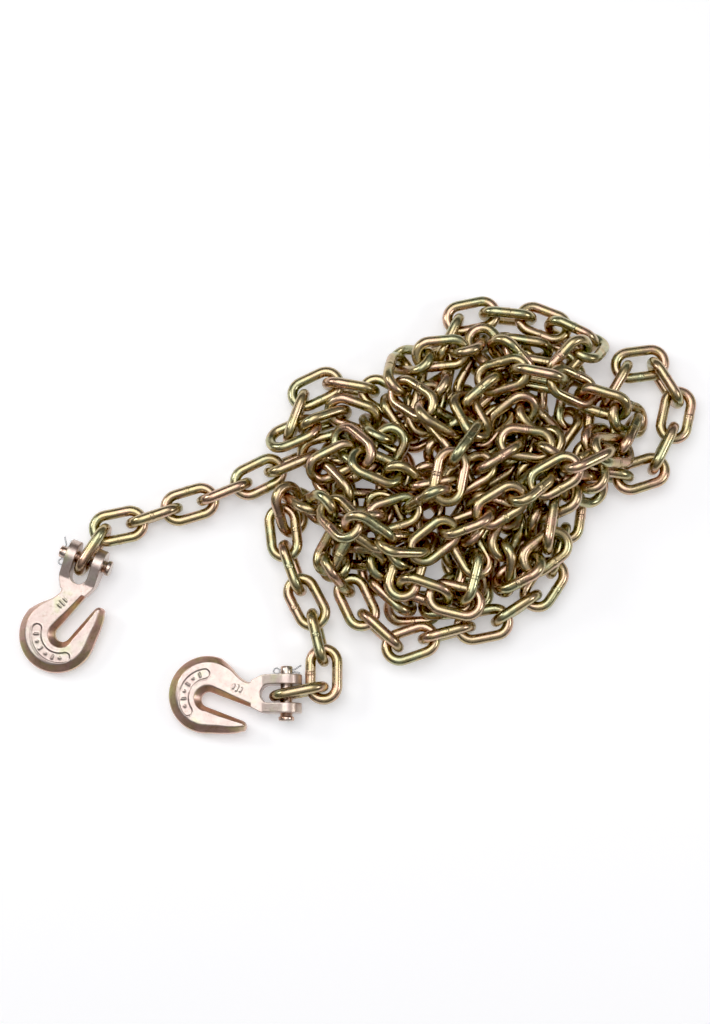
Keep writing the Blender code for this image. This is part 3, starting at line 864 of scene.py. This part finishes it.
def metal(name, colours, patch_scale, rough, grain_scale, grain_depth, side_colour=None):
    """Plated steel. The film's colour drifts in patches, with its own drift on each piece.

    rough is the range of roughness, and side_colour the ramp for a forging's drafted sides.
    """
    material = bpy.data.materials.new(name)
    material.use_nodes = True
    tree = material.node_tree
    shader = tree.nodes["Principled BSDF"]
    shader.inputs["Metallic"].default_value = 1.0
    shader.inputs["Coat Weight"].default_value = 0.6
    shader.inputs["Coat Roughness"].default_value = 0.14
    shader.inputs["Coat IOR"].default_value = 1.8
    where = tree.nodes.new("ShaderNodeTexCoord").outputs["Object"]
    tone = tree.nodes.new("ShaderNodeAttribute")
    tone.attribute_name = "tone"
    spread = tree.nodes.new("ShaderNodeMath")
    spread.operation = "MULTIPLY"
    spread.inputs[1].default_value = 37.0
    tree.links.new(tone.outputs["Fac"], spread.inputs[0])
    patches = noise_of(tree, where, spread.outputs[0], patch_scale, 2.5, 0.55)
    colour = ramp_of(tree, patches, colours)
    if side_colour is not None:
        side = tree.nodes.new("ShaderNodeAttribute")
        side.attribute_name = "side"
        drift = noise_of(tree, where, spread.outputs[0], 45, 2, 0.5)
        edge = ramp_of(tree, drift, side_colour)
        colour = mixed(tree, side.outputs["Fac"], colour, edge)
    stain = noise_of(tree, where, spread.outputs[0], 420, 4, 0.65)
    dirt = ramp_of(tree, stain, [(0.28, (0.72, 0.66, 0.58)), (0.50, (1, 1, 1))])
    shade = tree.nodes.new("ShaderNodeMix")
    shade.data_type = "RGBA"
    shade.blend_type = "MULTIPLY"
    shade.inputs["Factor"].default_value = 0.8
    tree.links.new(colour, shade.inputs[6])
    tree.links.new(dirt, shade.inputs[7])
    tree.links.new(shade.outputs[2], shader.inputs["Base Color"])
    gloss = tree.nodes.new("ShaderNodeMapRange")
    gloss.inputs["From Min"].default_value = 0.30
    gloss.inputs["From Max"].default_value = 0.70
    gloss.inputs["To Min"].default_value = rough[0]
    gloss.inputs["To Max"].default_value = rough[1]
    tree.links.new(noise_of(tree, where, spread.outputs[0], 160, 4, 0.6), gloss.inputs["Value"])
    tree.links.new(gloss.outputs["Result"], shader.inputs["Roughness"])
    bump = tree.nodes.new("ShaderNodeBump")
    bump.inputs["Strength"].default_value = grain_depth
    bump.inputs["Distance"].default_value = 0.0004
    tree.links.new(noise_of(tree, where, spread.outputs[0], grain_scale, 4, 0.6),
                   bump.inputs["Height"])
    tree.links.new(bump.outputs["Normal"], shader.inputs["Normal"])
    return material


# Colours of the chromate film
OLIVE = (0.37, 0.30, 0.13)
GOLD = (0.51, 0.39, 0.18)
TAN = (0.48, 0.36, 0.20)
PINK = (0.61, 0.37, 0.25)
GREEN = (0.41, 0.41, 0.22)
CREAM = (0.57, 0.48, 0.42)

chain_metal = metal("chain_chromate", [
    (0.30, OLIVE), (0.39, GREEN), (0.46, GOLD), (0.53, TAN), (0.61, PINK), (0.70, GOLD)],
    38, (0.20, 0.34), 900, 0.12)
hook_metal = metal("hook_chromate", [
    (0.30, (0.50, 0.47, 0.31)), (0.44, CREAM), (0.56, (0.54, 0.41, 0.365)), (0.68, CREAM)],
    70, (0.27, 0.42), 2400, 0.35,
    [(0.32, (0.60, 0.53, 0.25)), (0.45, (0.58, 0.38, 0.25)), (0.56, (0.68, 0.42, 0.34)),
     (0.68, (0.58, 0.46, 0.24))])
pin_metal = metal("pin_chromate", [
    (0.30, GREEN), (0.48, CREAM), (0.60, PINK), (0.72, CREAM)], 60, (0.20, 0.32), 900, 0.08)
cotter_metal = metal("cotter_zinc", [
    (0.30, (0.32, 0.33, 0.34)), (0.70, (0.46, 0.47, 0.48))], 120, (0.22, 0.34), 1500, 0.08)


def build_chain():
    """All the links. Those of the inner lays stand for the frame's fat runs."""
    places, turns = heap()
    chance = np.random.default_rng(11)
    runs = sorted(name for name in frame["nodes"] if name.startswith("heap_run_"))
    body_of = {name: body for body, names in frame["record"]["behaviour"]["bodies"].items()
               for name in names}
    for number in range(LINKS):
        name = f"link_{number + 1:03d}"
        turn = turns[number] @ np.diag((-1, -1, 1) if chance.random() < 0.5 else (1, 1, 1))
        matrix = Matrix(turn.tolist()).to_4x4()
        matrix.translation = places[number]
        mesh = link_mesh(name, chance)
        body = body_of.get(name, "heap")
        piece = add_piece("chain_" + name, mesh, chain_metal, body, matrix)
        if name in frame["nodes"]:
            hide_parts(name)
        elif runs:
            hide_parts(runs.pop())


def build_hook(letter):
    """One grab hook with its clevis pin and split pin."""
    place = hook_place("hook_" + letter)
    chance = np.random.default_rng(ord(letter))
    for kind, mesh, material, body in (
            ("hook", hook_mesh(), hook_metal, "hook_" + letter),
            ("clevis_pin", pin_mesh(), pin_metal, "pin_" + letter),
            ("cotter", cotter_mesh(), cotter_metal, "pin_" + letter)):
        set_value(mesh, "tone", [chance.uniform(0, 1)] * len(mesh.vertices))
        node = f"{kind}_{letter}"
        piece = add_piece("detailed_" + node, mesh, material, body, place)
        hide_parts(node)


FLOOR_HALF = 40
LIGHTS = [("overhead", (-0.30, 0.30, 1.95), 1.6, 17.5), ("left", (-1.4, 0.5, 1.0), 0.5, 6),
          ("right", (1.4, -0.2, 1.1), 0.5, 5)]


def build_stage():
    """Pale floor and soft studio light: one wide box overhead, a weaker one at each side."""
    floor = bpy.data.meshes.new("floor")
    half = FLOOR_HALF
    floor.from_pydata([(-half, -half, 0), (half, -half, 0), (half, half, 0), (-half, half, 0)],
                      [], [(0, 1, 2, 3)])
    paper = bpy.data.materials.new("floor")
    paper.use_nodes = True
    shader = paper.node_tree.nodes["Principled BSDF"]
    shader.inputs["Base Color"].default_value = (0.90, 0.90, 0.91, 1)
    shader.inputs["Roughness"].default_value = 0.8
    shader.inputs["Specular IOR Level"].default_value = 0.1
    shader.inputs["Emission Color"].default_value = (1, 0.99, 1, 1)
    shader.inputs["Emission Strength"].default_value = 0.26
    floor.materials.append(paper)
    stage = bpy.data.objects.new("floor", floor)
    stage.location.z = -0.0002
    bpy.context.scene.collection.objects.link(stage)
    for name, place, size, power in LIGHTS:
        light = bpy.data.lights.new(name, "AREA")
        light.energy = power
        light.size = size
        lamp = bpy.data.objects.new(name, light)
        lamp.location = place
        lamp.rotation_euler = (-Vector(place)).to_track_quat("-Z", "Y").to_euler()
        bpy.context.scene.collection.objects.link(lamp)
    world = bpy.data.worlds.new("studio")
    world.use_nodes = True
    tree = world.node_tree
    where = tree.nodes.new("ShaderNodeTexCoord").outputs["Generated"]
    split = tree.nodes.new("ShaderNodeSeparateXYZ")
    tree.links.new(where, split.inputs[0])
    sky = ramp_of(tree, split.outputs["Z"], [
        (0.0, (0.50, 0.50, 0.51)), (0.05, (0.42, 0.42, 0.43)), (0.11, (0.09, 0.09, 0.09)),
        (0.50, (0.12, 0.12, 0.12)), (0.80, (0.40, 0.40, 0.41)),
        (1.0, (0.60, 0.60, 0.62))])
    tree.links.new(sky, tree.nodes["Background"].inputs["Color"])
    tree.nodes["Background"].inputs["Strength"].default_value = 1.0
    bpy.context.scene.world = world
    view = bpy.context.scene.view_settings
    view.view_transform = "Standard"
    view.gamma = 1.04
    view.use_curve_mapping = True
    view.curve_mapping.black_level = (0.015, 0.0132, 0.0108)
    view.curve_mapping.update()


def build_camera():
    """Looks nearly straight down, with the heap and both hooks in view."""
    width, distance, lean = 0.6455, 1.75, math.radians(80)
    camera = bpy.data.cameras.new("camera")
    camera.sensor_fit = "HORIZONTAL"
    camera.sensor_width = 36
    camera.lens = 36 * distance / width
    eye = bpy.data.objects.new("camera", camera)
    target = Vector((-0.005, 0, 0.012))
    eye.location = target + distance * Vector((0, -math.cos(lean), math.sin(lean)))
    eye.rotation_euler = (target - eye.location).to_track_quat("-Z", "Y").to_euler()
    bpy.context.scene.collection.objects.link(eye)
    bpy.context.scene.camera = eye


build_camera()
build_stage()
build_chain()
build_hook("a")
build_hook("b")
